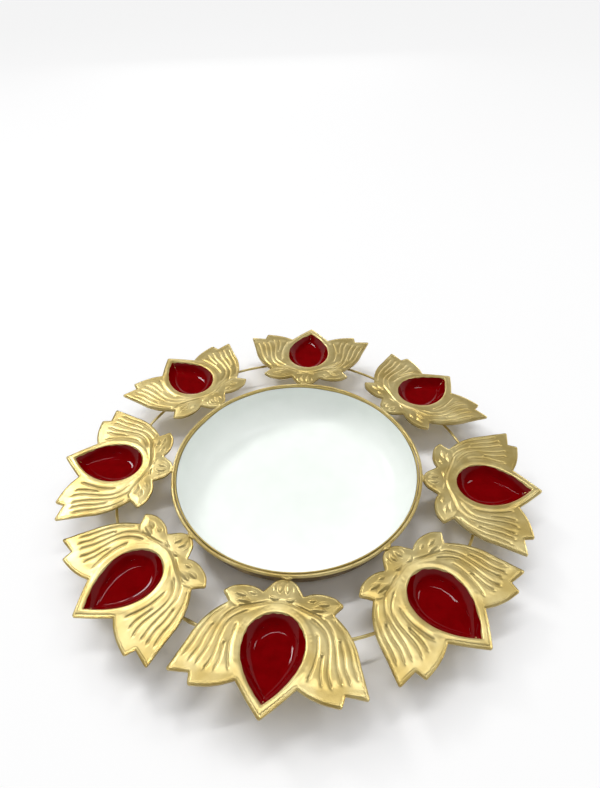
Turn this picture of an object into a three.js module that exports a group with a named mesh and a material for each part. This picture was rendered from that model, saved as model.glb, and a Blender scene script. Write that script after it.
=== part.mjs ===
// Urli with diyas: a shallow enamelled iron bowl inside a ring of eight stamped lotus lamp plates.
// Millimetres, +Z up. The origin is on the bowl's axis, at the flat underside that it stands on.
// Points of a plate are written [along, across]: along runs outwards from the middle of the rim wire,
// and across runs sideways from the plate's own middle line.

import * as THREE from 'three';

// Bowl
const RIM_RADIUS = 120;
const RIM_WIRE = 3.2;
const BOWL_HEIGHT = 40;
const BOWL_WALL = 2;
const BOWL_FOOT_RADIUS = 76;
const LIP_ABOVE_WIRE = 1.6;
const ENAMEL = 0.5;
const LINING_BELOW_LIP = 1.2;

// Frame
const OUTER_WIRE = 2.6;
const WIRE_BEFORE_CUP_MIDDLE = 5.7;
const WIRE_LEVEL_STRETCH = 13;
const SEAT_GAP = 0.3;
const BEAD_RADIUS = 1.5;
const BEAD_LENGTH = 5;

// Pressed sheet of a plate
const SHEET = 1;
const EDGE_DROP = 3.4;
const EDGE_ROUNDING = 0.9;
const FLUTE_HEIGHT = 1.5;
const LEAF_CROWN = 0.7;

// Lamp cup: a half ellipse towards the bowl and a parabola towards the petal's tip
const CUP_MIDDLE = 59.7;
const CUP_HALF_WIDTH = 24.6;
const CUP_ROUND_END = 27.2;
const CUP_POINTED_END = 43.6;
const CUP_DEPTH = 9.2;
const CUP_LIP_ROUNDING = 1.4;
const CUP_FLOOR_SHARE = 0.67;
const CUP_LIP_SHARE = 0.95;

// Outline of a plate, from the tip at the rim wire round one side to the petal's tip
const LEAF_EDGE = [[6, 8], [12, 12.6]];
const LEAF_NOTCH = [17, 16];
const SIDE_LEAF_EDGE = [[13.6, 23.3], [12.8, 31.8], [14.6, 40.8]];
const SIDE_LEAF_TIP = [19.7, 47.8];
const WING_ROOT = [28.8, 41];
const WING_EDGE = [[39.5, 52], [52.4, 60], [68, 65.2]];
const WING_TIP = [87.5, 72];
const WING_STEP = [86.6, 55.4];
const SECOND_TIP = [95.6, 53.7];
const WING_HEM = [[94.4, 42], [91.7, 31.5]];
const PETAL_NOTCH = [87.2, 21.8];
const PETAL_EDGE = [[99.5, 11]];
const PETAL_TIP_ROUND = [110, 1.9];
const PETAL_TIP = [111, 0];

// The two flutes that lead the others: one is the collar round the cup, one hugs the cup's side
const COLLAR_FLUTE = [[23.3, 0], [25.2, 10.5], [29.4, 21], [36.2, 33.5], [46.6, 42.2], [61, 46.8], [72.8, 48.3], [83, 53.4]];
const INNER_FLUTE = [[29.7, 0], [32.5, 11], [38.8, 21.5], [48.5, 30], [60, 32.4], [71.8, 30.3], [83.4, 26.6]];
const FLUTE_ROWS = [0, 0.12, 0.24, 0.37, 0.5, 0.63, 0.77, 0.93, 1];
const ROOT_ROW = 2;
const LAST_FULL_ROW = 7;
const WING_EDGE_END = 0.94;

// Flutes in the order in which they lie, with the share of the way across and the first full row
const INNER_BAND = [
  { share: 0, firstRow: 4 },
  { share: 1 / 3, firstRow: 6 },
  { share: 2 / 3, firstRow: 3 },
  { share: 1, firstRow: 0 },
];
const OUTER_BAND = [
  { share: 0, firstRow: 0 },
  { share: 1 / 3, firstRow: 5 },
  { share: 2 / 3, firstRow: 3 },
];

// Facet counts
const ROUND_FACETS = 40;
const OUTER_WIRE_FACETS = 48;
const WIRE_SIDES = 6;
const WALL_FACETS = 5;
const CUP_ROUND_STATIONS = 6;
const CUP_POINTED_STATIONS = 4;

// The plates, counter-clockwise from the front, each with its angle round the bowl and what the brazing
// left it with: a shift along the rim wire, a turn and a tilt that lifts its outer end, all in degrees
const PLATES = [
  { name: 'front', angle: -90, shift: 0.5, turn: -5.4, tilt: 4.5 },
  { name: 'front_right', angle: -45, shift: -1.4, turn: -1.6, tilt: 0 },
  { name: 'right', angle: 0, shift: -4.5, turn: 0.2, tilt: -0.5 },
  { name: 'back_right', angle: 45, shift: -1.5, turn: -1.5, tilt: -5 },
  { name: 'back', angle: 90, shift: 0, turn: -1.3, tilt: 0 },
  { name: 'back_left', angle: 135, shift: 2.6, turn: -3, tilt: 1 },
  { name: 'left', angle: 180, shift: 5.4, turn: -10, tilt: 1 },
  { name: 'front_left', angle: 225, shift: 0, turn: 0, tilt: 0 },
];

// Materials
const gold = new THREE.MeshStandardMaterial({ color: 0xd9bd6a, roughness: 0.38, metalness: 0.85 });
const bronze = new THREE.MeshStandardMaterial({ color: 0xa98a4c, roughness: 0.5, metalness: 0.8 });
const whiteEnamel = new THREE.MeshStandardMaterial({ color: 0xf3f5ee, roughness: 0.12, metalness: 0 });
const redEnamel = new THREE.MeshStandardMaterial({ color: 0x6e0003, roughness: 0.1, metalness: 0 });

// Places that follow from the sizes above
const WIRE_LEVEL = BOWL_HEIGHT - LIP_ABOVE_WIRE;
const LIP_RADIUS = RIM_RADIUS - RIM_WIRE / 2 - SEAT_GAP;
const OUTER_RADIUS = RIM_RADIUS + CUP_MIDDLE - WIRE_BEFORE_CUP_MIDDLE;
const LEAF_TIP = [RIM_WIRE / 2 + SEAT_GAP, 0];

// A surface of shared points and triangles that grows patch by patch
class Surface {
  constructor() {
    this.points = [];
    this.faces = [];
    this.lookup = new Map();
  }

  point([along, across, height = 0]) {
    const key = [along, across].map((value) => Math.round(value * 1e4)).join();
    if (!this.lookup.has(key)) {
      this.lookup.set(key, this.points.length);
      this.points.push(new THREE.Vector3(along, across, height));
    }
    return this.lookup.get(key);
  }

  // Every face is turned so that it is counter-clockwise in the plan
  face(a, b, c) {
    const [p, q, r] = [a, b, c].map((corner) => this.points[corner]);
    const area = (q.x - p.x) * (r.y - p.y) - (q.y - p.y) * (r.x - p.x);
    if (Math.abs(area) < 1e-6) return;
    this.faces.push(area > 0 ? [a, b, c] : [a, c, b]);
  }

  // Fills the band between two lines that may have different numbers of points
  zip(first, second) {
    const one = first.map((point) => this.point(point));
    const two = second.map((point) => this.point(point));
    const span = (a, b) => this.points[a].distanceTo(this.points[b]);
    let i = 0;
    let j = 0;
    while (i < one.length - 1 || j < two.length - 1) {
      const lastOne = i === one.length - 1;
      const lastTwo = j === two.length - 1;
      const stepOne = lastTwo || (!lastOne && span(one[i + 1], two[j]) <= span(one[i], two[j + 1]));
      if (stepOne) {
        this.face(one[i], one[i + 1], two[j]);
        i += 1;
      } else {
        this.face(one[i], two[j + 1], two[j]);
        j += 1;
      }
    }
  }

  // Fills a grid of rows of equal length
  grid(rows) {
    for (let row = 1; row < rows.length; row += 1) {
      for (let column = 1; column < rows[row].length; column += 1) {
        const a = this.point(rows[row - 1][column - 1]);
        const b = this.point(rows[row - 1][column]);
        const c = this.point(rows[row][column]);
        const d = this.point(rows[row][column - 1]);
        this.face(a, b, c);
        this.face(a, c, d);
      }
    }
  }

  // The edge of the surface, as one loop of points, counter-clockwise in the plan
  rim() {
    const next = new Map();
    for (const face of this.faces) {
      face.forEach((corner, side) => next.set(`${corner},${face[(side + 1) % 3]}`, corner));
    }
    const follow = new Map();
    for (const edge of next.keys()) {
      const [from, to] = edge.split(',').map(Number);
      if (!next.has(`${to},${from}`)) follow.set(from, to);
    }
    const loop = [follow.keys().next().value];
    while (follow.get(loop[loop.length - 1]) !== loop[0]) loop.push(follow.get(loop[loop.length - 1]));
    return loop;
  }
}

// Moves the points of a closed loop inwards by the same distance from each of its edges
function inset(loop, distance) {
  return loop.map((point, index) => {
    const before = loop[(index + loop.length - 1) % loop.length];
    const after = loop[(index + 1) % loop.length];
    const arriving = new THREE.Vector2(point.x - before.x, point.y - before.y).normalize();
    const leaving = new THREE.Vector2(after.x - point.x, after.y - point.y).normalize();
    const inwards = new THREE.Vector2(-arriving.y - leaving.y, arriving.x + leaving.x).normalize();
    const reach = distance / Math.max(0.3, inwards.dot(new THREE.Vector2(-arriving.y, arriving.x)));
    return new THREE.Vector2(point.x + inwards.x * reach, point.y + inwards.y * reach);
  });
}

// Gives a surface the sheet's thickness and turns its edge down into a thin standing wall
function pressedSheet(surface) {
  const positions = [];
  const indices = [];
  const rim = surface.rim();
  const outline = rim.map((corner) => surface.points[corner].clone());
  const addPoints = (points) => {
    const start = positions.length / 3;
    points.forEach((point) => positions.push(point.x, point.y, point.z));
    return start;
  };
  const shoulder = inset(outline, EDGE_ROUNDING);
  const innerShoulder = inset(outline, EDGE_ROUNDING + SHEET * 0.7);
  const innerWall = inset(outline, SHEET);
  const at = (plan, height) => new THREE.Vector3(plan.x, plan.y, height);
  const top = surface.points.map((point) => point.clone());
  const bottom = surface.points.map((point) => at(point, point.z - SHEET));
  rim.forEach((corner, index) => {
    top[corner] = at(shoulder[index], outline[index].z);
    bottom[corner] = at(innerShoulder[index], outline[index].z - SHEET);
  });
  const topStart = addPoints(top);
  const bottomStart = addPoints(bottom);
  const wallStart = addPoints(outline.map((point) => at(point, -EDGE_DROP)));
  const innerStart = addPoints(innerWall.map((point) => at(point, -EDGE_DROP)));
  for (const [a, b, c] of surface.faces) {
    indices.push(topStart + a, topStart + b, topStart + c);
    indices.push(bottomStart + a, bottomStart + c, bottomStart + b);
  }
  const band = (upper, upperNext, lower, lowerNext) => {
    indices.push(upper, lower, lowerNext);
    indices.push(upper, lowerNext, upperNext);
  };
  rim.forEach((corner, index) => {
    const next = (index + 1) % rim.length;
    band(topStart + corner, topStart + rim[next], wallStart + index, wallStart + next);
    band(wallStart + index, wallStart + next, innerStart + index, innerStart + next);
    band(innerStart + index, innerStart + next, bottomStart + corner, bottomStart + rim[next]);
  });
  const geometry = new THREE.BufferGeometry();
  geometry.setAttribute('position', new THREE.Float32BufferAttribute(positions, 3));
  geometry.setIndex(indices);
  return geometry;
}

// Lines of the plate

function spline(points) {
  return new THREE.CatmullRomCurve3(points.map(([along, across]) => new THREE.Vector3(along, across, 0)));
}

function mix(one, two, share, height = 0) {
  return [one[0] + (two[0] - one[0]) * share, one[1] + (two[1] - one[1]) * share, height];
}

function mirrored(points) {
  return points.map(([along, across, height = 0]) => [along, -across, height]);
}

// One quarter turn of the cup's outline after another: the round end first, then the pointed end
function cupLine(share, height) {
  const line = [];
  for (let station = 0; station <= CUP_ROUND_STATIONS; station += 1) {
    const turn = (station / CUP_ROUND_STATIONS) * Math.PI / 2;
    const along = CUP_MIDDLE - CUP_ROUND_END * share * Math.cos(turn);
    line.push([along, CUP_HALF_WIDTH * share * Math.sin(turn), height]);
  }
  for (let station = 1; station <= CUP_POINTED_STATIONS; station += 1) {
    const reach = Math.sin((station / CUP_POINTED_STATIONS) * Math.PI / 2);
    const along = CUP_MIDDLE + CUP_POINTED_END * share * reach;
    line.push([along, CUP_HALF_WIDTH * share * (1 - reach * reach), height]);
  }
  return line;
}

function fluteHeight(row, firstRow) {
  return row >= firstRow && row <= LAST_FULL_ROW ? FLUTE_HEIGHT : 0;
}

// The points of a band on one row: each flute's crest with the valleys between them
function bandRow(band, from, to, row) {
  const points = [];
  band.forEach((flute, index) => {
    if (index > 0) points.push(mix(from, to, (flute.share + band[index - 1].share) / 2));
    points.push(mix(from, to, flute.share, fluteHeight(row, flute.firstRow)));
  });
  return points;
}

// Half of a plate's pressed face; side is 1 or -1
function addHalf(surface, side) {
  const place = (points) => (side > 0 ? points : mirrored(points));
  const zip = (one, two) => surface.zip(place(one), place(two));
  const grid = (rows) => surface.grid(rows.map(place));
  const plan = (curve, share) => curve.getPointAt(share).toArray().slice(0, 2);
  const collar = FLUTE_ROWS.map((share) => plan(spline(COLLAR_FLUTE), share));
  const inner = FLUTE_ROWS.map((share) => plan(spline(INNER_FLUTE), share));
  const wingEdge = spline([WING_ROOT, ...WING_EDGE, WING_TIP]);
  const edge = FLUTE_ROWS.map((share) => {
    const fromRoot = (share - FLUTE_ROWS[ROOT_ROW]) / (1 - FLUTE_ROWS[ROOT_ROW]);
    return plan(wingEdge, Math.max(0, fromRoot) * WING_EDGE_END);
  });

  // Fluted wing
  const innerRows = FLUTE_ROWS.map((_, row) => bandRow(INNER_BAND, inner[row], collar[row], row));
  const outerRows = FLUTE_ROWS.slice(ROOT_ROW).map((_, index) => {
    const row = index + ROOT_ROW;
    return bandRow(OUTER_BAND, collar[row], edge[row], row);
  });
  grid(innerRows);
  grid(outerRows);
  const outermost = outerRows.map((row) => row[row.length - 1]);
  zip(outermost, [WING_ROOT, ...WING_EDGE, WING_TIP]);

  // Hem of the wing, between the ends of the flutes and the outline
  const fluteEnds = [...innerRows[innerRows.length - 1], ...outerRows[outerRows.length - 1].slice(1)];
  zip(fluteEnds, [PETAL_NOTCH, ...[...WING_HEM].reverse(), SECOND_TIP, WING_STEP, WING_TIP]);

  // Moat between the cup's lip and the innermost flute, and the petal round the cup's point
  const lip = cupLine(1, 0);
  const sideStations = CUP_ROUND_STATIONS + CUP_POINTED_STATIONS - 2;
  const innermost = innerRows.map((row) => row[0]);
  zip([...innermost, PETAL_NOTCH], lip.slice(0, sideStations));
  zip([PETAL_NOTCH, ...PETAL_EDGE, PETAL_TIP_ROUND, PETAL_TIP], lip.slice(sideStations - 1));

  // Leaves, with a low crown between the collar and the outline
  const root = [...outerRows[0], WING_ROOT];
  const base = [...innerRows.slice(0, ROOT_ROW).map((row) => row[row.length - 1]), ...root];
  const outline = [LEAF_TIP, ...LEAF_EDGE, LEAF_NOTCH, ...SIDE_LEAF_EDGE, SIDE_LEAF_TIP, WING_ROOT];
  const crown = [
    mix(COLLAR_FLUTE[0], LEAF_TIP, 0.5, LEAF_CROWN),
    mix(LEAF_EDGE[1], COLLAR_FLUTE[1], 0.45, LEAF_CROWN),
    mix(LEAF_NOTCH, COLLAR_FLUTE[2], 0.6, 0),
    mix(SIDE_LEAF_EDGE[1], root[2], 0.5, LEAF_CROWN),
    mix(SIDE_LEAF_TIP, root[3], 0.5, LEAF_CROWN),
    WING_ROOT,
  ];
  zip(crown, base);
  zip(outline, crown);

  // Cup
  const lipFoot = cupLine(CUP_LIP_SHARE, -CUP_LIP_ROUNDING);
  const floorEdge = cupLine(CUP_FLOOR_SHARE, -CUP_DEPTH);
  grid([lip, lipFoot, floorEdge]);
  zip(floorEdge, [[CUP_MIDDLE, 0, -CUP_DEPTH]]);
}

function plateGeometry() {
  const surface = new Surface();
  addHalf(surface, 1);
  addHalf(surface, -1);
  return pressedSheet(surface);
}

// Coats of enamel, which lie just clear of the metal that carries them

function cupEnamelGeometry() {
  const slope = (CUP_DEPTH - CUP_LIP_ROUNDING) / (CUP_HALF_WIDTH * (CUP_LIP_SHARE - CUP_FLOOR_SHARE));
  const clearance = SEAT_GAP * Math.hypot(1, slope);
  const coat = ENAMEL * Math.hypot(1, slope);
  const underside = new Surface();
  for (const side of [1, -1]) {
    const place = (points) => (side > 0 ? points : mirrored(points));
    const edge = place(cupLine(CUP_LIP_SHARE, clearance - CUP_LIP_ROUNDING));
    const floor = place(cupLine(CUP_FLOOR_SHARE, clearance - CUP_DEPTH));
    underside.grid([edge, floor]);
    underside.zip(floor, [[CUP_MIDDLE, 0, clearance - CUP_DEPTH]]);
  }
  return coatGeometry(underside, coat);
}

function coatGeometry(underside, coat) {
  const positions = [];
  const indices = [];
  const count = underside.points.length;
  for (const rise of [0, coat]) {
    underside.points.forEach((point) => positions.push(point.x, point.y, point.z + rise));
  }
  for (const [a, b, c] of underside.faces) {
    indices.push(a, c, b);
    indices.push(count + a, count + b, count + c);
  }
  const rim = underside.rim();
  rim.forEach((corner, index) => {
    const next = rim[(index + 1) % rim.length];
    indices.push(corner, next, count + next);
    indices.push(corner, count + next, count + corner);
  });
  const geometry = new THREE.BufferGeometry();
  geometry.setAttribute('position', new THREE.Float32BufferAttribute(positions, 3));
  geometry.setIndex(indices);
  return geometry;
}

// Bowl: a flat foot and a wall that rounds up to nearly upright, turned on the Z axis

function wallProfile(depthIn, topLevel) {
  const foot = BOWL_FOOT_RADIUS - depthIn * 0.4;
  const reach = LIP_RADIUS - depthIn - foot;
  const rise = BOWL_HEIGHT - depthIn;
  const lastTurn = Math.acos(Math.max(-1, 1 - (topLevel - depthIn) / rise));
  const profile = [];
  for (let facet = 0; facet <= WALL_FACETS; facet += 1) {
    const turn = (facet / WALL_FACETS) * lastTurn;
    profile.push(new THREE.Vector2(foot + reach * Math.sin(turn), depthIn + rise * (1 - Math.cos(turn))));
  }
  return profile;
}

function turned(outer, inner) {
  const onAxis = (profile) => new THREE.Vector2(0, profile[0].y);
  const profile = [onAxis(outer), ...outer, ...[...inner].reverse(), onAxis(inner)];
  const geometry = new THREE.LatheGeometry(profile, ROUND_FACETS);
  geometry.rotateX(Math.PI / 2);
  return geometry;
}

function bowlGeometry() {
  return turned(wallProfile(0, BOWL_HEIGHT), wallProfile(BOWL_WALL, BOWL_HEIGHT));
}

function liningGeometry() {
  const level = BOWL_HEIGHT - LINING_BELOW_LIP;
  const outside = BOWL_WALL + SEAT_GAP;
  return turned(wallProfile(outside, level), wallProfile(outside + ENAMEL, level));
}

// Outer wire: a ring that rises and falls a little, so that it touches the underside of every cup

function seatLevel({ tilt }) {
  const rise = THREE.MathUtils.degToRad(tilt);
  const below = CUP_DEPTH + SHEET + SEAT_GAP + OUTER_WIRE / 2;
  return WIRE_LEVEL + (OUTER_RADIUS - RIM_RADIUS) * Math.tan(rise) - below / Math.cos(rise);
}

// The wire is level for a stretch at each plate, and eases from one plate's level to the next one's
function outerWireLevel(degrees) {
  const place = ({ angle, shift }) => THREE.MathUtils.euclideanModulo(degrees - angle - shift, 360);
  const byPlace = [...PLATES].sort((one, two) => place(one) - place(two));
  const before = byPlace[0];
  const after = byPlace[byPlace.length - 1];
  const end = place(before) + 360 - place(after) - WIRE_LEVEL_STRETCH;
  const ease = THREE.MathUtils.smoothstep(place(before), WIRE_LEVEL_STRETCH, end);
  return THREE.MathUtils.lerp(seatLevel(before), seatLevel(after), ease);
}

function outerWireGeometry() {
  const geometry = new THREE.TorusGeometry(OUTER_RADIUS, OUTER_WIRE / 2, WIRE_SIDES, OUTER_WIRE_FACETS);
  const position = geometry.getAttribute('position');
  for (let index = 0; index < position.count; index += 1) {
    const degrees = THREE.MathUtils.radToDeg(Math.atan2(position.getY(index), position.getX(index)));
    position.setZ(index, position.getZ(index) + outerWireLevel(degrees));
  }
  return geometry;
}

// Assembly

const urli = new THREE.Group();

function addPiece(name, geometry, material, parent = urli) {
  const mesh = new THREE.Mesh(geometry, material);
  mesh.name = name;
  parent.add(mesh);
  return mesh;
}

addPiece('bowl', bowlGeometry(), bronze);
addPiece('bowl_enamel', liningGeometry(), whiteEnamel);

const rimWire = addPiece(
  'rim_wire',
  new THREE.TorusGeometry(RIM_RADIUS, RIM_WIRE / 2, WIRE_SIDES, ROUND_FACETS),
  gold,
);
rimWire.position.z = WIRE_LEVEL;

addPiece('outer_wire', outerWireGeometry(), gold);

// Each bead of braze lies in the groove between the rim wire and the tip of a plate
const beadGeometry = new THREE.SphereGeometry(BEAD_RADIUS, 7, 4);
beadGeometry.rotateX(Math.PI / 2);
beadGeometry.scale(1, BEAD_LENGTH / (2 * BEAD_RADIUS), 1);
const beadRise = SEAT_GAP + BEAD_RADIUS;
const beadReach = RIM_WIRE / 2 + SEAT_GAP + BEAD_RADIUS;
const beadAlong = Math.sqrt(beadReach ** 2 - beadRise ** 2);

for (const { name, angle, shift, turn, tilt } of PLATES) {
  const station = new THREE.Group();
  station.rotation.z = THREE.MathUtils.degToRad(angle + shift);
  const plate = new THREE.Group();
  plate.position.set(RIM_RADIUS, 0, WIRE_LEVEL);
  plate.rotation.set(0, THREE.MathUtils.degToRad(-tilt), THREE.MathUtils.degToRad(turn), 'ZYX');
  station.add(plate);
  urli.add(station);
  addPiece(`${name}_lotus`, plateGeometry(), gold, plate);
  addPiece(`${name}_cup_enamel`, cupEnamelGeometry(), redEnamel, plate);
  const bead = addPiece(`${name}_braze`, beadGeometry.clone(), gold, plate);
  bead.position.set(beadAlong, 0, beadRise);
}

export default urli;
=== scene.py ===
import math

import bpy
import numpy as np
from mathutils import Matrix, Vector
from mathutils.geometry import delaunay_2d_cdt
from mathutils.kdtree import KDTree


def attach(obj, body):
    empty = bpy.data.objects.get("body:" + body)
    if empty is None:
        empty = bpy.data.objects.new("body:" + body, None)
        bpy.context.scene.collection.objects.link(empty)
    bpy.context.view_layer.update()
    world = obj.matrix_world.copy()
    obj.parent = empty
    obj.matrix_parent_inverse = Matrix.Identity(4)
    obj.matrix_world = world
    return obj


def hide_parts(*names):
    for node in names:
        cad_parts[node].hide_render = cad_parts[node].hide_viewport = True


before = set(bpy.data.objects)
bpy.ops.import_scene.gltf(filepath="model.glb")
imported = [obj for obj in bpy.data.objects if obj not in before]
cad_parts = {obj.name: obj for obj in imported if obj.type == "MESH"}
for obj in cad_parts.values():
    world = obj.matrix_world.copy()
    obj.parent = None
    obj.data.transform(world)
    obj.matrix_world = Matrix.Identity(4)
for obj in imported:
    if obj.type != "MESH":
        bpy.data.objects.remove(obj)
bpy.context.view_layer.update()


# Camera
# It stands before the front plate and a little to the right, and looks down past the bowl at the table
# behind it, tipped by a degree or so.
LOOK_AT = Vector((-0.0037, 0.1052, 0.0384))
CAMERA_DISTANCE = 0.6304
CAMERA_SIDEWAYS = math.radians(4.81)
CAMERA_ELEVATION = math.radians(41.58)
CAMERA_ROLL = math.radians(-1.35)
CAMERA_REACH = 60
LENS = 25.76

backwards = Vector((
    math.sin(CAMERA_SIDEWAYS) * math.cos(CAMERA_ELEVATION),
    -math.cos(CAMERA_SIDEWAYS) * math.cos(CAMERA_ELEVATION),
    math.sin(CAMERA_ELEVATION),
))
level_right = Vector((0, 0, 1)).cross(backwards).normalized()
level_up = backwards.cross(level_right)
right = level_right * math.cos(CAMERA_ROLL) + level_up * math.sin(CAMERA_ROLL)
up = level_up * math.cos(CAMERA_ROLL) - level_right * math.sin(CAMERA_ROLL)
camera_data = bpy.data.cameras.new("camera")
camera_data.lens = LENS
camera_data.clip_end = CAMERA_REACH
camera = bpy.data.objects.new("camera", camera_data)
bpy.context.scene.collection.objects.link(camera)
turned = Matrix((right, up, backwards)).transposed().to_4x4()
camera.matrix_world = Matrix.Translation(LOOK_AT + backwards * CAMERA_DISTANCE) @ turned
bpy.context.scene.camera = camera


# Iron bowl
# A shallow bowl hammered from sheet iron, with a flat foot and a wall that rounds up to nearly upright.
# It is painted dull gold outside, over the lip and a little way down inside.
MM = 0.001
BOWL_HEIGHT = 40
BOWL_FOOT = 76
FOOT_TAPER = 0.4
BOWL_WALL = 1.4
WALL_FULLNESS = 2.4
ROW_SPREAD = 0.6
LIP_RADIUS = 118.1
LIP_ROUND = BOWL_WALL / 2
LIP_PAINT_START = 36
LIP_PAINT_END = 37.5
TURNS = 240
HAMMER_MARK = 9
HAMMER_DEPTH = 1.2
OLD_GOLD = (0.33, 0.235, 0.095)
OLD_GOLD_DARK = (0.16, 0.105, 0.042)
LIP_GOLD = (0.53, 0.405, 0.135)


class Signal:
    """A value, colour or vector that runs from one node of a material to the next."""

    def __init__(self, finish, socket):
        self.finish = finish
        self.socket = socket

    def math(self, operation, *values):
        return self.finish.add("ShaderNodeMath", {"operation": operation}, dict(enumerate(values)))

    def __add__(self, other):
        return self.math("ADD", self, other)

    __radd__ = __add__

    def __mul__(self, other):
        return self.math("MULTIPLY", self, other)

    __rmul__ = __mul__

    def smooth(self, low, high):
        """0 below low, 1 above high, and an easy slope between."""
        settings = {"interpolation_type": "SMOOTHSTEP"}
        values = {"Value": self, "From Min": low, "From Max": high}
        return self.finish.add("ShaderNodeMapRange", settings, values)


class Finish:
    """The nodes of one material, or of the world, and the shader that they feed."""

    def __init__(self, owner, **fixed):
        owner.use_nodes = True
        self.owner = owner
        self.nodes = owner.node_tree.nodes
        self.links = owner.node_tree.links
        self.shader = self.nodes.get("Principled BSDF") or self.nodes["Background"]
        self.wear(**fixed)

    def feed(self, node, key, value):
        """Links a signal to a socket, or sets the socket's own value."""
        socket = node.inputs[key]
        if isinstance(value, Signal):
            self.links.new(value.socket, socket)
        elif isinstance(value, tuple) and len(value) == 3 and len(socket.default_value) == 4:
            socket.default_value = (*value, 1)
        else:
            socket.default_value = value

    def wear(self, **sockets):
        """Feeds the shader's own sockets, which are called by their names."""
        for socket, value in sockets.items():
            self.feed(self.shader, socket.replace("_", " "), value)

    def add(self, kind, settings=None, values=None, output=0):
        """Any node: its type, its settings, which are set first, and the values or links of its sockets."""
        node = self.nodes.new(kind)
        for name, value in (settings or {}).items():
            setattr(node, name, value)
        for key, value in (values or {}).items():
            self.feed(node, key, value)
        return Signal(self, node.outputs[output])

    def place(self):
        return self.add("ShaderNodeTexCoord", output="Object")

    def noise(self, scale, detail, roughness=0.5):
        values = {"Vector": self.place(), "Scale": scale, "Detail": detail, "Roughness": roughness}
        return self.add("ShaderNodeTexNoise", None, values)

    def blend(self, share, one, two):
        """A colour between two others."""
        settings = {"data_type": "RGBA"}
        return self.add("ShaderNodeMix", settings, {"Factor": share, 6: one, 7: two}, output=2)

    def bump(self, height, depth, under=None):
        """A relief, with depth in metres."""
        values = {"Height": height, "Distance": depth, "Strength": 1.0}
        if under:
            values["Normal"] = under
        return self.add("ShaderNodeBump", None, values)


def new_piece(name, points, faces, finish, slot, nodes):
    """A smooth mesh in millimetres becomes a piece on the object's one body."""
    mesh = bpy.data.meshes.new(name)
    mesh.from_pydata((np.asarray(points) * MM).tolist(), [], [list(face) for face in faces])
    mesh.validate()
    mesh.polygons.foreach_set("use_smooth", [True] * len(mesh.polygons))
    mesh.materials.append(finish.owner)
    piece = bpy.data.objects.new(name, mesh)
    bpy.context.scene.collection.objects.link(piece)
    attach(piece, "root")
    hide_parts(*nodes)
    return piece


def wall_line(depth, high, count):
    """Radius and height along the bowl's wall, at a depth under its outer face and up to a given height."""
    rise = BOWL_HEIGHT - depth
    foot = BOWL_FOOT - depth * FOOT_TAPER
    last = (1 - (high - depth) / rise) ** ROW_SPREAD
    fall = np.linspace(1, last, count) ** (1 / ROW_SPREAD)
    out = (1 - fall ** WALL_FULLNESS) ** (1 / WALL_FULLNESS)
    return foot + (LIP_RADIUS - depth - foot) * out, depth + rise * (1 - fall)


around = np.linspace(0, 2 * math.pi, TURNS, endpoint=False)[:, None]


def spun(radii, heights):
    """Points and faces of a profile that is turned round the bowl's axis, with a middle point at each end."""
    radii = np.broadcast_to(radii, (TURNS, np.shape(radii)[-1]))
    heights = np.broadcast_to(heights, radii.shape)
    points = np.stack([radii * np.cos(around), radii * np.sin(around), heights], -1).reshape(-1, 3)
    count = radii.shape[1]
    first = len(points)
    faces = []
    for turn in range(TURNS):
        here = turn * count
        there = (turn + 1) % TURNS * count
        faces.append((first, there, here))
        for step in range(count - 1):
            faces.append((here + step, there + step, there + step + 1, here + step + 1))
        faces.append((first + 1, here + count - 1, there + count - 1))
    return np.vstack([points, [0, 0, heights[0, 0]], [0, 0, heights[0, -1]]]), faces


old_gold = Finish(bpy.data.materials.new("hammered_gold_paint"), Metallic=0.75)
hammered = old_gold.add(
    "ShaderNodeTexVoronoi",
    {"feature": "SMOOTH_F1"},
    {"Vector": old_gold.place(), "Scale": 1 / (HAMMER_MARK * MM), "Smoothness": 0.6},
)
patches = old_gold.noise(60, 4)
level = old_gold.add("ShaderNodeSeparateXYZ", None, {"Vector": old_gold.place()}, output="Z")
worn = old_gold.blend(patches.smooth(0.35, 0.7), OLD_GOLD_DARK, OLD_GOLD)
old_gold.wear(
    Base_Color=old_gold.blend(level.smooth(LIP_PAINT_START * MM, LIP_PAINT_END * MM), worn, LIP_GOLD),
    Roughness=0.34 + 0.2 * patches,
    Normal=old_gold.bump(hammered, HAMMER_DEPTH * MM),
)
wall_end = BOWL_HEIGHT - LIP_ROUND
outer_r, outer_z = wall_line(0, wall_end, count=44)
inner_r, inner_z = wall_line(BOWL_WALL, wall_end, count=40)
over_lip = np.linspace(0, math.pi, 9)[1:-1]
lip_r = (outer_r[-1] + inner_r[-1]) / 2 + (outer_r[-1] - inner_r[-1]) / 2 * np.cos(over_lip)
lip_z = wall_end + LIP_ROUND * np.sin(over_lip)
bowl_r = np.concatenate([outer_r, lip_r, inner_r[::-1]])
bowl_z = np.concatenate([outer_z, lip_z, inner_z[::-1]])
new_piece("iron_bowl", *spun(bowl_r, bowl_z), old_gold, "bronze_paint", ["bowl"])


# White enamel
# A thick coat poured and brushed inside the bowl, so it keeps the hammer's dents as soft waves, and its
# painted edge under the lip wanders by a millimetre or two.
COAT = 0.5
COAT_GAP = 0.3
COAT_EDGE = 0.35
COAT_BEVEL = 0.1
ENAMEL_TOP = 38.3
EDGE_WAVES = [(3, 0.6, 0.27), (7, 2, 0.21), (17, 0, 0.12)]
THIN_SPOT = math.radians(152)
THIN_SPOT_WIDTH = 0.16
THIN_SPOT_DROP = 1.6
FLOOR_ROWS = 30
WHITE = (0.94, 0.98, 0.935)
WHITE_THIN = (0.91, 0.955, 0.905)
DENTS = [(-44, 62, 8.5, 0.8), (-16, 70, 6, -0.5), (-5, 57, 3.5, 0.5), (34, 84, 9, 0.5), (-78, 18, 12, 0.5)]

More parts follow.
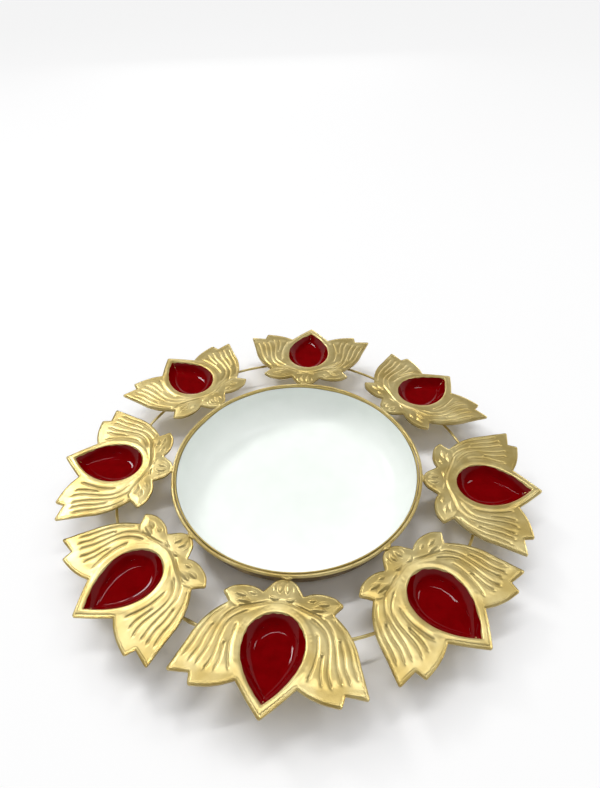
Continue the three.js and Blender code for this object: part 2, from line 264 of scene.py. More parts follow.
white = Finish(bpy.data.materials.new("white_enamel"), Roughness=0.28, Specular_IOR_Level=0.2)
waves = white.noise(28, 1.5)
grain = white.noise(420, 2)
white.wear(
    Base_Color=white.blend(white.noise(35, 3).smooth(0.3, 0.75), WHITE, WHITE_THIN),
    Normal=white.bump(grain, 0.03 * MM, white.bump(waves, 1.2 * MM)),
)
coat_top = ENAMEL_TOP - THIN_SPOT_DROP * np.exp(-((around - THIN_SPOT) / THIN_SPOT_WIDTH) ** 2)
for count, phase, size in EDGE_WAVES:
    coat_top = coat_top + size * np.sin(count * around + phase)
coat_lines = [wall_line(BOWL_WALL + COAT_GAP + COAT, top, count=46) for top in coat_top[:, 0]]
wall_r, wall_z = np.array(coat_lines).transpose(1, 0, 2)
radii = np.concatenate([wall_r[:, :1] * np.linspace(0.02, 0.985, FLOOR_ROWS), wall_r], 1)
heights = np.concatenate([np.repeat(wall_z[:, :1], FLOOR_ROWS, 1), wall_z], 1)
x = radii * np.cos(around)
y = radii * np.sin(around)
for dent_x, dent_y, size, depth in DENTS:
    away = ((x - dent_x) ** 2 + (y - dent_y) ** 2) / size ** 2
    heights = heights + depth * (1 - away) * np.exp(-away)
coat_r = np.concatenate([radii, radii[:, -1:] + COAT_EDGE, radii[:, ::-1] + COAT_BEVEL], 1)
coat_z = np.concatenate([heights, heights[:, -1:] - COAT_BEVEL, heights[:, ::-1] - COAT_EDGE], 1)
points, faces = spun(coat_r, coat_z)
new_piece("white_enamel", points, [face[::-1] for face in faces], white, "white_enamel", ["bowl_enamel"])


# Gold wires
# The rim wire is brazed round the outside of the bowl's lip. The thin outer wire runs under the lamp cups
# and ties the plates together, and its two ends meet in a burnt joint. Both are drawn wire, painted gold.
RIM_RADIUS = 120
RIM_WIRE = 3.2
WIRE_LEVEL = 38.4
WIRE_STEPS = 300
WIRE_SIDES = 14
OUTER_WIRE = 2.6
PAINT_SWELL = 1.05
CAD_RINGS = 48
JOINT_PLACE = 245
JOINT_WIDTH = 1.3
JOINT_SWELL = 0.25
JOINT_BURN = 1.6
GOLD = (0.54, 0.4, 0.125)
# The darkest gold is painted shade in the plates' grooves, and also the colour of the wire's burnt joint.
GOLD_SHADE_AND_BURN = (0.25, 0.17, 0.045)
GOLD_PALE = (0.73, 0.605, 0.275)


def gold_paint(name, brush_depth=0.05):
    """Satin gold paint: fine metal flakes in lacquer, cloudy where it was brushed, darkened by painted shade
    in the grooves and at burnt joints.
    """
    paint = Finish(bpy.data.materials.new(name), Metallic=0.68)
    clouds = paint.noise(45, 3)
    flakes = paint.noise(2600, 1)
    brushed = paint.noise(330, 3, 0.6)
    shade_and_burn = paint.add("ShaderNodeAttribute", {"attribute_name": "shade_and_burn"}, output="Fac")
    base = paint.blend(clouds.smooth(0.3, 0.75), GOLD, GOLD_PALE)
    paint.wear(
        # Painted shade darkens the gold in the plates' grooves; the same darkening marks the wire's burnt
        # joint.
        Base_Color=paint.blend(shade_and_burn * (0.3 + 0.35 * brushed), base, GOLD_SHADE_AND_BURN),
        Roughness=0.31 + 0.12 * brushed,
        Normal=paint.bump(flakes, 0.012 * MM, paint.bump(brushed, brush_depth * MM)),
    )
    return paint


def darken(piece, shade_and_burn):
    """Tells the gold paint how far to darken each point of a piece: painted shade in grooves, and burnt marks
    at joints.
    """
    piece.data.attributes.new("shade_and_burn", "FLOAT", "POINT").data.foreach_set("value", shade_and_burn)


def ring_of(middle, radius):
    """A closed round wire along a closed line of points, with one radius or one for each point."""
    ahead = np.roll(middle, -1, 0) - np.roll(middle, 1, 0)
    ahead /= np.linalg.norm(ahead, axis=1)[:, None]
    outwards = np.cross(ahead, (0, 0, 1))
    outwards /= np.linalg.norm(outwards, axis=1)[:, None]
    upwards = np.cross(outwards, ahead)
    turn = np.linspace(0, 2 * math.pi, WIRE_SIDES, endpoint=False)[None, :, None]
    radius = np.broadcast_to(radius, len(middle))[:, None, None]
    points = middle[:, None] + radius * (outwards[:, None] * np.cos(turn) + upwards[:, None] * np.sin(turn))
    faces = []
    for ring in range(len(middle)):
        here = ring * WIRE_SIDES
        there = (ring + 1) % len(middle) * WIRE_SIDES
        for side in range(WIRE_SIDES):
            after = (side + 1) % WIRE_SIDES
            faces.append((here + side, here + after, there + after, there + side))
    return points.reshape(-1, 3), faces


wire_gold = gold_paint("gold_wire_paint")
turns = np.linspace(0, 2 * math.pi, WIRE_STEPS, endpoint=False)
# Bent wire wanders by a few tenths of a millimetre.
wobble = 0.25 * np.sin(5 * turns + 1) + 0.15 * np.sin(11 * turns)
rim_line = np.stack([
    (RIM_RADIUS + wobble) * np.cos(turns),
    (RIM_RADIUS + wobble) * np.sin(turns),
    WIRE_LEVEL + 0.2 * np.sin(4 * turns + 2),
], -1)
new_piece("rim_wire_ring", *ring_of(rim_line, RIM_WIRE / 2), wire_gold, "gold_paint", ["rim_wire"])

# The outer wire rises and falls with the middles of its CAD rings.
wire_points = np.array([vertex.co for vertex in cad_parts["outer_wire"].data.vertices]) / MM
wire_degrees = np.degrees(np.arctan2(wire_points[:, 1], wire_points[:, 0]))
ring_degrees = 360 / CAD_RINGS
wire_rings = np.round(wire_degrees / ring_degrees).astype(int) % CAD_RINGS
ring_levels = []
for ring in range(CAD_RINGS):
    ring_heights = wire_points[wire_rings == ring, 2]
    ring_levels.append((ring_heights.min() + ring_heights.max()) / 2)
degrees = np.degrees(turns)
levels = np.interp(degrees, np.arange(CAD_RINGS) * ring_degrees, ring_levels, period=360)
outer_radius = np.hypot(wire_points[:, 0], wire_points[:, 1]).max() - OUTER_WIRE / 2
outer_line = np.stack([outer_radius * np.cos(turns), outer_radius * np.sin(turns), levels], -1)
burnt = np.exp(-((degrees - JOINT_PLACE) / JOINT_WIDTH) ** 2)
wire_radius = OUTER_WIRE / 2 * (PAINT_SWELL + JOINT_SWELL * burnt)
outer_wire = new_piece(
    "outer_wire_ring", *ring_of(outer_line, wire_radius), wire_gold, "gold_paint", ["outer_wire"]
)
darken(outer_wire, np.repeat(JOINT_BURN * burnt, WIRE_SIDES))


# Lotus plates
# Each is one stamping of thin sheet iron: a lotus outline with its edges turned down, rounded flutes along
# the wings, raised strokes on the leaves, and a drop-shaped lamp cup drawn down from the middle petal.
# Points are [along, across]: outwards from the rim wire's middle, and sideways from the plate's middle line.
SHEET = 0.85
OUTLINE = [
    [[1.9, 0], [6, 8], [12, 12.6], [17, 16]],
    [[17, 16], [13.6, 23.3], [12.8, 31.8], [14.6, 40.8], [19.7, 47.8]],
    [[19.7, 47.8], [24.6, 43.8], [28.8, 41]],
    [[28.8, 41], [39.5, 52], [52.4, 60], [68, 65.2], [87.5, 72]],
    [[87.5, 72], [86.6, 55.4]],
    [[86.6, 55.4], [95.6, 53.7]],
    [[95.6, 53.7], [94.4, 42], [91.7, 31.5], [87.2, 21.8]],
    [[87.2, 21.8], [99.5, 11], [111, 0]],
]
OUTLINE_STEP = 0.6
OUTLINE_SOFTENING = 3
EDGE_DROP = 2.5
EDGE_ROUND = 1.1
CUP_MIDDLE = 59.7
CUP_HALF_WIDTH = 24.6
CUP_ROUND_END = 27.2
CUP_POINTED_END = 43.6
CUP_DEPTH = 9.2
CUP_WALL_START = 0.7
CUP_WALL_RUN = 12.5
CUP_LIP = [(-6, 0), (-4, 0.3), (-1.2, 0.55), (-0.3, 0.45), (0.7, 0), (40, 0)]
CUP_FILLET = 0.3
PUCKERS = 46
PUCKER_HEIGHT = 0.07
UNDER_ENAMEL = 0.45
# The flutes' rounded faces fade out before a line of (across, along) points.
PUFF_HEIGHT = 0.5
PUFF_END = [(0, 86), (24, 84), (36, 87), (45, 87), (52, 83.5), (57, 82.5), (75, 82)]
PUFF_FADE = 8
# Each groove has its line, and the lengths over which it fades in and out.
GROOVE_DEPTH = 1.1
GROOVE_REACH = 2.7
GROOVE_WIDTH = 0.45
GROOVES = [
    ([[23.3, 0], [24.4, 7], [26.6, 15], [29.6, 25], [33.4, 33.5], [42.2, 41.6], [51.7, 45], [60.9, 46.8],
      [70.3, 48.9], [82.5, 53.5]], 24, 4),
    ([[44.5, 30], [51.5, 32], [61.2, 32.8], [69.8, 31.7], [78.2, 29.6], [83, 28]], 5, 4),
    ([[61.8, 36.9], [69.3, 36.8], [76.6, 37.1], [85.3, 39.2]], 2.5, 4),
    ([[34.2, 23], [40, 32.5], [46.8, 38.3], [55.4, 40.9], [64.9, 41.6], [73.4, 42.2], [79.9, 43.9],
      [85.9, 46.8]], 5, 4),
    ([[49, 48.6], [59.8, 52.4], [69.2, 54.2], [76.8, 57.4], [81.3, 59.3]], 2.5, 4),
    ([[32.5, 41], [36.4, 45.6], [43.5, 51.2], [55, 56.6], [66, 59.7], [77.8, 64.5]], 4, 5),
]
# The leaves end at a line of (across, along) points, where a low collar begins.
LEAF_END = [(0, 23.3), (10.5, 25.2), (21, 29.4), (30, 32), (36, 31.5), (41, 28.8), (80, 28.8)]
LEAF_CROWN = 0.45
CROWN_RUN = 7
COLLAR_HEIGHT = 0.5
# Each stroke has its line, its half width and its height.
STROKE_FADE = 7
STROKE_GROOVE = 0.2
STROKES = [
    ([[4.6, 1.3], [12.3, 3.1], [19.4, 2.4]], 2.8, 1.2),
    ([[6.5, 6.4], [11.5, 8.2], [17, 7.4]], 1.7, 0.8),
    ([[20.6, 0], [22.2, 5.2], [20.8, 9.7], [17.2, 11.3]], 1.8, 0.9),
    ([[21.6, 18], [19.6, 23.5], [18.2, 30]], 2.3, 1),
    ([[23.4, 26], [21.6, 33.5], [21.2, 41]], 2.5, 1.2),
    ([[27.6, 21.5], [26.6, 29.5], [27.4, 38]], 2.5, 1.2),
]
PIMPLES = [(61.6, 36.4), (49, 48)]
PIMPLE_RADIUS = 1.4
PIMPLE_HEIGHT = 1.6
# Where the mesh has its points: rows beside the edge, the grooves and the cup's lip, and the fields between.
EDGE_ROWS = (0.3, 0.65, 1.05)
GROOVE_ROWS = (-0.9, -0.42, 0, 0.42, 0.9)
GROOVE_STEP = 0.7
LIP_ROWS = (0.94, 0.955, 0.97, 0.985, 1.0, 1.02, 1.045, 1.075)
LIP_AROUND = 280
ROW_FROM_EDGE = 1.4
ROW_FROM_MIDDLE = 0.25
FIELD_FROM_EDGE = 1.35
FIELD_FROM_GROOVE = 1.2
FIELD_FROM_LIP = 1.09
CUP_FIELD_END = 0.92
FINE_STEP = 0.2
LEAF_GRAIN = 0.5
WING_GRAIN = 0.8
HIDDEN_GRAIN = 2
PLATES = [
    {"name": "front", "angle": -90, "shift": 0.5, "turn": -5.4, "tilt": 4.5},
    {"name": "front_right", "angle": -45, "shift": -1.4, "turn": -1.6, "tilt": 0},
    {"name": "right", "angle": 0, "shift": -4.5, "turn": 0.2, "tilt": -0.5},
    {"name": "back_right", "angle": 45, "shift": -1.5, "turn": -1.5, "tilt": -5},
    {"name": "back", "angle": 90, "shift": 0, "turn": -1.3, "tilt": 0},
    {"name": "back_left", "angle": 135, "shift": 2.6, "turn": -3, "tilt": 1},
    {"name": "left", "angle": 180, "shift": 5.4, "turn": -10, "tilt": 1},
    {"name": "front_left", "angle": 225, "shift": 0, "turn": 0, "tilt": 0},
]


def even_line(controls, step):
    """A smooth line through the points, with a point at every step of its length."""
    controls = np.array(controls, float)
    if len(controls) > 2:
        padded = np.vstack([2 * controls[0] - controls[1], controls, 2 * controls[-1] - controls[-2]])
        share = np.linspace(0, 1, 40, endpoint=False)[:, None]
        spans = []
        for a, b, c, d in zip(padded, padded[1:], padded[2:], padded[3:]):
            cubic = 2 * b + (c - a) * share + (2 * a - 5 * b + 4 * c - d) * share ** 2
            spans.append((cubic + (3 * b - a - 3 * c + d) * share ** 3) / 2)
        controls = np.vstack([*spans, controls[-1:]])
    length = np.append(0, np.cumsum(np.linalg.norm(np.diff(controls, axis=0), axis=1)))
    at = np.linspace(0, length[-1], max(2, int(round(length[-1] / step)) + 1))
    return np.stack([np.interp(at, length, controls[:, 0]), np.interp(at, length, controls[:, 1])], -1)


def nearest(line, points):
    """Each point's distance from a line, and which of the line's points is the nearest."""
    tree = KDTree(len(line))
    for index, spot in enumerate(line):
        tree.insert((*spot, 0), index)
    tree.balance()
    found = np.array([tree.find((*point, 0))[1:] for point in points]).reshape(-1, 2)
    return found[:, 1], found[:, 0]


def ramp(value, low, high):
    """0 below low, 1 above high, and an easy slope between."""
    share = np.clip((value - low) / (high - low), 0, 1)
    return share * share * (3 - 2 * share)


def line_field(controls, points, start, end):
    """Each point's distance from a line, and how far the line has faded in or out at the nearest place."""
    step = 0.4
    line = even_line(controls, step)
    distance, place = nearest(line, points)
    return distance, ramp(place * step, 0, start) * ramp((len(line) - 1 - place) * step, 0, end)


def cup_share(points):
    """0 at the cup's middle and 1 on its lip, for any point of the plate."""
    along = points[:, 0] - CUP_MIDDLE
    across = np.abs(points[:, 1]) / CUP_HALF_WIDTH
    round_end = np.hypot(along / CUP_ROUND_END, across)
    reach = np.clip(along, 0, None) / CUP_POINTED_END
    pointed_end = (across + np.sqrt(across ** 2 + 4 * reach ** 2)) / 2
    return np.where(along < 0, round_end, pointed_end)


def cup_height(points):
    """The face's height in and round the cup, by each point's distance inwards from the cup's lip."""
    share = np.maximum(cup_share(points), 0.01)
    inset = np.hypot(points[:, 0] - CUP_MIDDLE, points[:, 1]) * (1 / share - 1)
    step = 0.05
    run = np.arange(-8, 60, step)
    fall = 1 - np.clip((run - CUP_WALL_START) / CUP_WALL_RUN, 0, 1)
    sharp = CUP_DEPTH * (fall ** 2 - 1) + np.interp(run, *zip(*CUP_LIP))
    kernel = np.exp(-(np.arange(-30, 31) * step / CUP_FILLET) ** 2 / 2)
    soft = np.convolve(np.pad(sharp, 30, mode="edge"), kernel / kernel.sum(), mode="valid")
    return np.interp(inset, run, soft)


def relief(points, edge_distance):
    """The height of the pressed face over its flat level, and how much painted shade each point gets in and
    beside the grooves.
    """
    half = np.stack([points[:, 0], np.abs(points[:, 1])], -1)
    share = cup_share(points)
    past_leaf = half[:, 0] - np.interp(half[:, 1], *zip(*LEAF_END))
    before_hem = np.interp(half[:, 1], *zip(*PUFF_END)) - half[:, 0]

    # Flutes: the wings are puffed up, and the grooves are pressed into them. Both fade out at the cup's lip.
    carved = np.zeros(len(points))
    shade_and_burn = np.zeros(len(points))
    for line, start, end in GROOVES:
        distance, depth = line_field(line, half, start, end)
        valley = (1 - np.clip(distance / GROOVE_REACH, 0, 1)) ** 2
        pressed = np.exp(-(distance / GROOVE_WIDTH) ** 2)
        carved = np.maximum(carved, depth * (0.85 * valley + 0.15 * pressed))
        # The grooves' floors and flanks also get painted shade, which the gold paint darkens.
        shade_and_burn = np.maximum(shade_and_burn, depth * (0.15 * valley + 0.55 * pressed))
    puffed = ramp(past_leaf, -0.4, 2) * ramp(before_hem, 0, PUFF_FADE)
    height = PUFF_HEIGHT * puffed - GROOVE_DEPTH * carved * ramp(past_leaf, -2.4, -0.4)
    height = height * ramp(share, 1.02, 1.18)
    shade_and_burn = shade_and_burn * ramp(past_leaf, -1.5, 0.5)

    # Leaves: a low crown, and raised strokes with a thin groove round each.
    height = height + LEAF_CROWN * (1 - ramp(past_leaf, -3, 0)) * ramp(edge_distance, 0, CROWN_RUN)
    for line, wide, high in STROKES:
        distance, depth = line_field(line, half, STROKE_FADE, STROKE_FADE)
        beside = depth * np.exp(-(((distance - depth * wide - 0.15) / 0.35) ** 2))
        height = height + high * ramp(depth - distance / wide, 0, 1) - STROKE_GROOVE * beside
        # The thin groove round each stroke gets painted shade too.
        shade_and_burn = np.maximum(shade_and_burn, 0.3 * beside)
    collar = COLLAR_HEIGHT * np.exp(-((past_leaf - 2.1) / 2) ** 2)
    height = height + collar * (1 - ramp(half[:, 1], 20, 34))

    # Cup: small puckers where the sheet was drawn down, but not at the point, and room for the enamel.
    round_cup = np.arctan2(half[:, 1], half[:, 0] - CUP_MIDDLE)
    puckers = np.sin(PUCKERS * round_cup + 4 * np.sin(3 * round_cup)) * np.exp(-((share - 1.13) / 0.05) ** 2)
    puckers = puckers * (1 + np.sin(7 * round_cup + 1)) / 2
    height = height + PUCKER_HEIGHT * puckers * ramp(round_cup, 0.7, 1.2)
    height = height + cup_height(points) - UNDER_ENAMEL * (1 - ramp(share, 0.93, 0.96))

    for spot in PIMPLES:
        distance = np.hypot(*(half - spot).T)
        pimple = PIMPLE_HEIGHT * (1 - (distance / PIMPLE_RADIUS) ** 2)
        height = np.where(distance < PIMPLE_RADIUS, np.maximum(height, pimple), height)
    rounding = np.clip(EDGE_ROUND - edge_distance, 0, EDGE_ROUND)
    height = height - EDGE_ROUND + np.sqrt(EDGE_ROUND ** 2 - rounding ** 2)
    return height, np.clip(shade_and_burn, 0, 1)


def rounded_outline():
    """The whole outline as a loop of even points, with its corners a little softened."""
    half = [even_line(edge, OUTLINE_STEP)[:-1] for edge in OUTLINE]
    half = np.vstack([*half, [OUTLINE[-1][-1]]])
    loop = np.vstack([half, (half * [1, -1])[-2:0:-1]])
    for _ in range(OUTLINE_SOFTENING):
        loop = 0.5 * loop + 0.25 * (np.roll(loop, 1, 0) + np.roll(loop, -1, 0))
    return loop


def sideways(line):
    """The direction across a closed line at each of its points, inwards on the outline."""
    ahead = np.roll(line, -1, 0) - np.roll(line, 1, 0)
    ahead /= np.linalg.norm(ahead, axis=1)[:, None]
    return np.stack([-ahead[:, 1], ahead[:, 0]], -1)


def lattice(loop, spacing):
    """Staggered rows of points over the box round a loop, those within the loop only."""
    low, high = loop.min(0), loop.max(0)
    rows = []
    for row, along in enumerate(np.arange(low[0], high[0], spacing * math.sqrt(0.75))):
        across = np.arange(low[1] + row % 2 * spacing / 2, high[1], spacing)
        rows.append(np.stack([np.full(len(across), along), across], -1))
    points = np.vstack(rows)
    crossings = np.zeros(len(points), int)
    for start, end in zip(loop, np.roll(loop, -1, 0)):
        between = (start[1] > points[:, 1]) != (end[1] > points[:, 1])
        rise = end[1] - start[1] or 1
        crossing = start[0] + (end[0] - start[0]) * (points[:, 1] - start[1]) / rise
        crossings += between & (points[:, 0] < crossing)
    return points[crossings % 2 == 1]


def cup_ring(share, turn):
    """Points round the cup at one share of its outline; a turn of 0 points outwards."""
    lean = np.abs(np.sin(turn))
    pointed_end = CUP_POINTED_END * np.sqrt(np.clip(1 - lean, 0, 1))
    reach = np.where(np.cos(turn) > 0, pointed_end, CUP_ROUND_END * np.cos(turn))
    return np.stack([CUP_MIDDLE + share * reach, CUP_HALF_WIDTH * share * lean * np.sign(np.sin(turn))], -1)


def joined(loop, inner_points):
    """Triangles over a loop and the points within it."""
    points = np.vstack([loop, *inner_points])
    count = len(loop)
    edges = [(index, (index + 1) % count) for index in range(count)]
    found = delaunay_2d_cdt([Vector(point) for point in points], edges, [], 1, 1e-5)
    return np.array([tuple(point) for point in found[0]]), found[2]


outline = rounded_outline()
inwards = sideways(outline)
fine_outline = even_line(np.vstack([outline, outline[:1]]), FINE_STEP)
seams = []
for inset in EDGE_ROWS:
    row = outline + inset * inwards
    seams.append(row[nearest(fine_outline, row)[0] > inset * 0.9])
groove_points = []
for controls, _, _ in GROOVES:
    groove_points.append(even_line(controls, FINE_STEP))
    line = even_line(controls, GROOVE_STEP)
    across = sideways(np.vstack([line, 2 * line[-1] - line[-2], 2 * line[0] - line[1]]))[: len(line)]
    for offset in GROOVE_ROWS:
        row = line + offset * across
        row = row[row[:, 1] > ROW_FROM_MIDDLE]
        row = row[nearest(fine_outline, row)[0] > ROW_FROM_EDGE]
        seams += [row, row * [1, -1]]
groove_points = np.vstack(groove_points)
round_lip = np.linspace(0, 2 * math.pi, LIP_AROUND, endpoint=False)
for share in LIP_ROWS:
    row = cup_ring(share, round_lip)
    seams.append(row[nearest(fine_outline, row)[0] > ROW_FROM_EDGE])
fields = []
for spacing in (LEAF_GRAIN, WING_GRAIN, HIDDEN_GRAIN):
    field = lattice(outline, spacing)
    field_share = cup_share(field)
    on_leaf = field[:, 0] < np.interp(np.abs(field[:, 1]), *zip(*LEAF_END)) - 1
    if spacing == HIDDEN_GRAIN:
        keep = field_share < CUP_FIELD_END
    else:
        keep = (field_share > FIELD_FROM_LIP) & (on_leaf == (spacing == LEAF_GRAIN))
        keep &= nearest(groove_points, field * [1, 0] + np.abs(field) * [0, 1])[0] > FIELD_FROM_GROOVE
        keep &= nearest(fine_outline, field)[0] > FIELD_FROM_EDGE
    fields.append(field[keep])
plan, plan_faces = joined(outline, [*seams, *fields])
edge_distance = nearest(fine_outline, plan)[0]
edge_distance[: len(outline)] = 0
plate_height, plate_shade = relief(plan, edge_distance)

inner_loop = outline + SHEET * inwards
under_field = lattice(inner_loop, HIDDEN_GRAIN)
under_field = under_field[nearest(inner_loop, under_field)[0] > HIDDEN_GRAIN / 2]
under_plan, under_faces = joined(inner_loop, [under_field])
under_height = relief(under_plan, nearest(outline, under_plan)[0])[0] - SHEET

# The sheet's points: its face, three rows down the turned edge, the edge's inner corner, and its underside.
loop_count = len(outline)
hem = [(plan, drop) for drop in np.linspace(-EDGE_ROUND, -EDGE_DROP, 4)[1:]]
hem.append((under_plan, -EDGE_DROP))
blocks = [np.column_stack([plan, plate_height])]
for loop, drop in hem:
    blocks.append(np.column_stack([loop[:loop_count], np.full(loop_count, drop)]))
blocks.append(np.column_stack([under_plan, under_height]))
sheet_points = np.vstack(blocks)
sheet_shade = np.append(plate_shade, np.zeros(len(sheet_points) - len(plate_shade)))
starts = np.cumsum([0, *map(len, blocks)])[:-1]
sheet_faces = list(plan_faces)
sheet_faces += [[starts[-1] + index for index in reversed(face)] for face in under_faces]
for above, below in zip(starts, starts[1:]):
    for index in range(loop_count):
        after = (index + 1) % loop_count
        sheet_faces.append((above + after, above + index, below + index, below + after))


def plate_pose(plate):
    """Where a plate stands: its leaf tip at the rim wire, turned outwards and tilted about that end."""
    station = math.radians(plate["angle"] + plate["shift"])
    turn = station + math.radians(plate["turn"])
    root = Vector((RIM_RADIUS * math.cos(station), RIM_RADIUS * math.sin(station), WIRE_LEVEL))
    rotation = Matrix.Rotation(turn, 4, "Z") @ Matrix.Rotation(-math.radians(plate["tilt"]), 4, "Y")
    return np.array(Matrix.Translation(root) @ rotation)


def posed(points, plate):
    """A plate's own points, moved to where the plate stands."""
    pose = plate_pose(plate)
    return points @ pose[:3, :3].T + pose[:3, 3]


plate_gold = gold_paint("gold_plate_paint", 0.1)
for plate in PLATES:
    name = plate["name"]
    points = posed(sheet_points, plate)
    lotus = new_piece(
        name + "_stamped_lotus", points, sheet_faces, plate_gold, "gold_paint", [name + "_lotus"]
    )
    # The gold paint darkens the plate's grooves with painted shade.
    darken(lotus, sheet_shade)


# Red enamel
# Deep red enamel brushed into each lamp cup and up its wall, with a glassy face and an uneven painted edge
# just inside the lip.
RED = (0.19, 0.0, 0.001)
RED_DARK = (0.15, 0.0, 0.0005)
RED_COAT = 0.05
RED_COAT_EDGE = 0.02
RED_COAT_ROUND = 0.05
RED_TOP = 0.966
RED_HIGHEST = 0.98
RED_LOWEST = 0.95
RED_WAVES = (3, 5, 8, 13, 21)
RED_WANDER = 0.0045
RED_AROUND = 150
RED_FLOOR_ROWS = np.concatenate([np.linspace(0.03, 0.6, 12), np.linspace(0.62, 0.76, 12)])
RED_WALL_ROWS = np.linspace(0.79, 1, 14)

red = Finish(bpy.data.materials.new("red_enamel"), Roughness=0.04, Specular_IOR_Level=0.13)
red.wear(
    Base_Color=red.blend(red.noise(120, 2).smooth(0.3, 0.8), RED, RED_DARK),
    Normal=red.bump(red.noise(90, 1), 0.3 * MM),
)
rng = np.random.default_rng(4)
red_turn = np.linspace(0, 2 * math.pi, RED_AROUND, endpoint=False)
red_rows = np.concatenate([RED_FLOOR_ROWS, RED_WALL_ROWS])
red_coat = RED_COAT * np.sqrt(np.clip((1 - red_rows) / RED_COAT_ROUND, 0, 1))
count = len(red_rows)
red_faces = []
for column in range(RED_AROUND):
    here = column * count
    there = (column + 1) % RED_AROUND * count
    red_faces.append((RED_AROUND * count, here, there))
    for step in range(count - 1):
        red_faces.append((here + step, here + step + 1, there + step + 1, there + step))
for plate in PLATES:
    edge = np.full(RED_AROUND, RED_TOP)
    for wave in RED_WAVES:
        edge = edge + RED_WANDER * rng.normal() * np.sin(wave * red_turn + rng.uniform(0, 6.28))
    edge = np.clip(edge, RED_LOWEST, RED_HIGHEST)
    share = red_rows * edge[:, None]
    share[:, : len(RED_FLOOR_ROWS)] = RED_FLOOR_ROWS
    spots = cup_ring(share, red_turn[:, None]).reshape(-1, 2)
    height = cup_height(spots) + np.tile(np.maximum(red_coat, RED_COAT_EDGE), RED_AROUND)
    points = np.vstack([np.column_stack([spots, height]), [CUP_MIDDLE, 0, RED_COAT - CUP_DEPTH]])
    name = plate["name"]
    new_piece(
        name + "_red_enamel", posed(points, plate), red_faces, red, "red_enamel", [name + "_cup_enamel"]
    )


# Braze beads
# Each plate's leaf tip is brazed to the rim wire. The filler left a small lump there, rougher and brighter
# than the paint round it.
BEAD_LENGTH = 9.5
BEAD_RADIUS = 1.5
BEAD_MIDDLE = 1.4
BEAD_LEVEL = 0.2
BEAD_FLATNESS = 0.85
BEAD_FLOW = 0.9
BEAD_SIDES = 24
BEAD_ROWS = 25

bead_gold = gold_paint("brazed_lump_paint", 0.3)
bead_turn = np.linspace(0, 2 * math.pi, BEAD_SIDES, endpoint=False)
bead_faces = []
for row in range(BEAD_ROWS - 1):
    for side in range(BEAD_SIDES):
        here = row * BEAD_SIDES + side
        after = row * BEAD_SIDES + (side + 1) % BEAD_SIDES
        bead_faces.append((here, here + BEAD_SIDES, after + BEAD_SIDES, after))
for plate in PLATES:
    lumps = rng.uniform(0, 6.28, 4)
    points = []
    for run in np.linspace(0, math.pi, BEAD_ROWS):
        across = -BEAD_LENGTH / 2 * math.cos(run)
        swell = 1 + 0.1 * np.sin(3 * bead_turn + lumps[0] + 2 * run) + 0.08 * np.sin(5 * bead_turn + lumps[1])
        swell = swell * (1 + 0.12 * math.sin(6 * run + lumps[2]))
        radius = BEAD_RADIUS * math.sin(run) ** 0.6 * swell
        flow = 1 + BEAD_FLOW * math.exp(-(across / 2) ** 2) * (np.cos(bead_turn) > 0)
        points.append(np.stack([
            BEAD_MIDDLE + radius * np.cos(bead_turn) * flow,
            np.full(BEAD_SIDES, across),
            BEAD_LEVEL + radius * np.sin(bead_turn) * BEAD_FLATNESS,
        ], -1))
    name = plate["name"]
    points = posed(np.vstack(points), plate)
    new_piece(name + "_brazed_lump", points, bead_faces, bead_gold, "gold_paint", [name + "_braze"])


# Table and light
# A white table without an edge. A panel high at the back left and a tube lamp over the middle give most of
# the light. A small panel at the back right, a low window behind and a high one in front fill in.
TABLE_WHITE = (0.95, 0.95, 0.95)
TABLE_SHADE = (0.93, 0.93, 0.935)
TABLE_HALF = 9
TABLE_GLOW = 0.85
GLOW_START = 0.2
GLOW_END = 0.27
SKY_LIGHT = (0.38, 0.38, 0.39)
BACKDROP = (0.95, 0.95, 0.95)
CEILING = (0.055, 0.055, 0.06)
BACKDROP_TOP = 0.33
CEILING_START = 0.48


def looked_at(finish):
    """1 for what the camera sees, straight, mirrored or through glass, and 0 for what only gives light."""
    seen = finish.add("ShaderNodeLightPath", output="Is Camera Ray")
    mirrored = finish.add("ShaderNodeLightPath", output="Is Glossy Ray")
    passed = finish.add("ShaderNodeLightPath", output="Is Transmission Ray")
    return seen + mirrored + passed


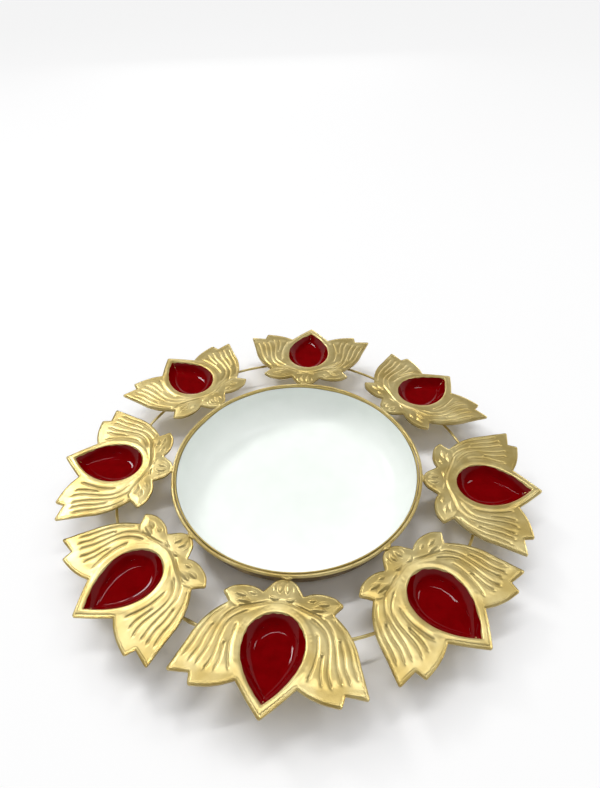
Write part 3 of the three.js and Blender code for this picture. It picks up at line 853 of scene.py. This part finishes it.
def lamp(name, place, width, depth, power, mirrored=True):
    """A soft lamp that looks at the object's middle, and that gloss may mirror or not."""
    data = bpy.data.lights.new(name, "AREA")
    data.shape = "RECTANGLE"
    data.size = width
    data.size_y = depth
    data.energy = power
    light = bpy.data.objects.new(name, data)
    light.location = place
    light.visible_glossy = mirrored
    light.rotation_euler = (-Vector(place)).to_track_quat("-Z", "Y").to_euler()
    bpy.context.scene.collection.objects.link(light)


table = Finish(bpy.data.materials.new("white_table"), Roughness=0.6)
table.wear(Base_Color=table.blend(table.noise(3, 1), TABLE_WHITE, TABLE_SHADE))
from_middle = table.add("ShaderNodeVectorMath", {"operation": "LENGTH"}, {0: table.place()}, output="Value")
glow = table.add("ShaderNodeEmission", None, {"Color": (1, 1, 1), "Strength": 1.0})
glow_share = looked_at(table) * TABLE_GLOW * from_middle.smooth(GLOW_START, GLOW_END)
lit = Signal(table, table.shader.outputs[0])
surface = table.add("ShaderNodeMixShader", None, {0: glow_share, 1: lit, 2: glow})
table.feed(table.nodes["Material Output"], "Surface", surface)
table_mesh = bpy.data.meshes.new("table")
corners = [(-TABLE_HALF, -TABLE_HALF, 0), (TABLE_HALF, -TABLE_HALF, 0), (TABLE_HALF, TABLE_HALF, 0)]
table_mesh.from_pydata([*corners, (-TABLE_HALF, TABLE_HALF, 0)], [], [(0, 1, 2, 3)])
table_mesh.materials.append(table.owner)
table_top = bpy.data.objects.new("table", table_mesh)
bpy.context.scene.collection.objects.link(table_top)

lamp("left_panel", (-1.2, 1.05, 1.6), 0.4, 0.4, 16)
lamp("tube_lamp", (-0.1, 0.3, 1.8), 1.2, 0.1, 10)
lamp("right_panel", (1.1, 0.6, 1.6), 0.3, 0.3, 4)
lamp("back_window", (-0.3, 2, 0.4), 1.2, 0.4, 3)
lamp("front_window", (0.3, -0.9, 1.6), 0.8, 0.5, 2.2, False)

world = bpy.data.worlds.new("world")
bpy.context.scene.world = world
sky = Finish(world)
direction = sky.add("ShaderNodeTexCoord", output="Generated")
elevation = sky.add("ShaderNodeSeparateXYZ", None, {"Vector": direction}, output="Z")
backdrop = sky.blend(elevation.smooth(BACKDROP_TOP, CEILING_START), BACKDROP, CEILING)
sky.wear(Color=sky.blend(looked_at(sky), SKY_LIGHT, backdrop))
bpy.context.scene.view_settings.view_transform = "Standard"
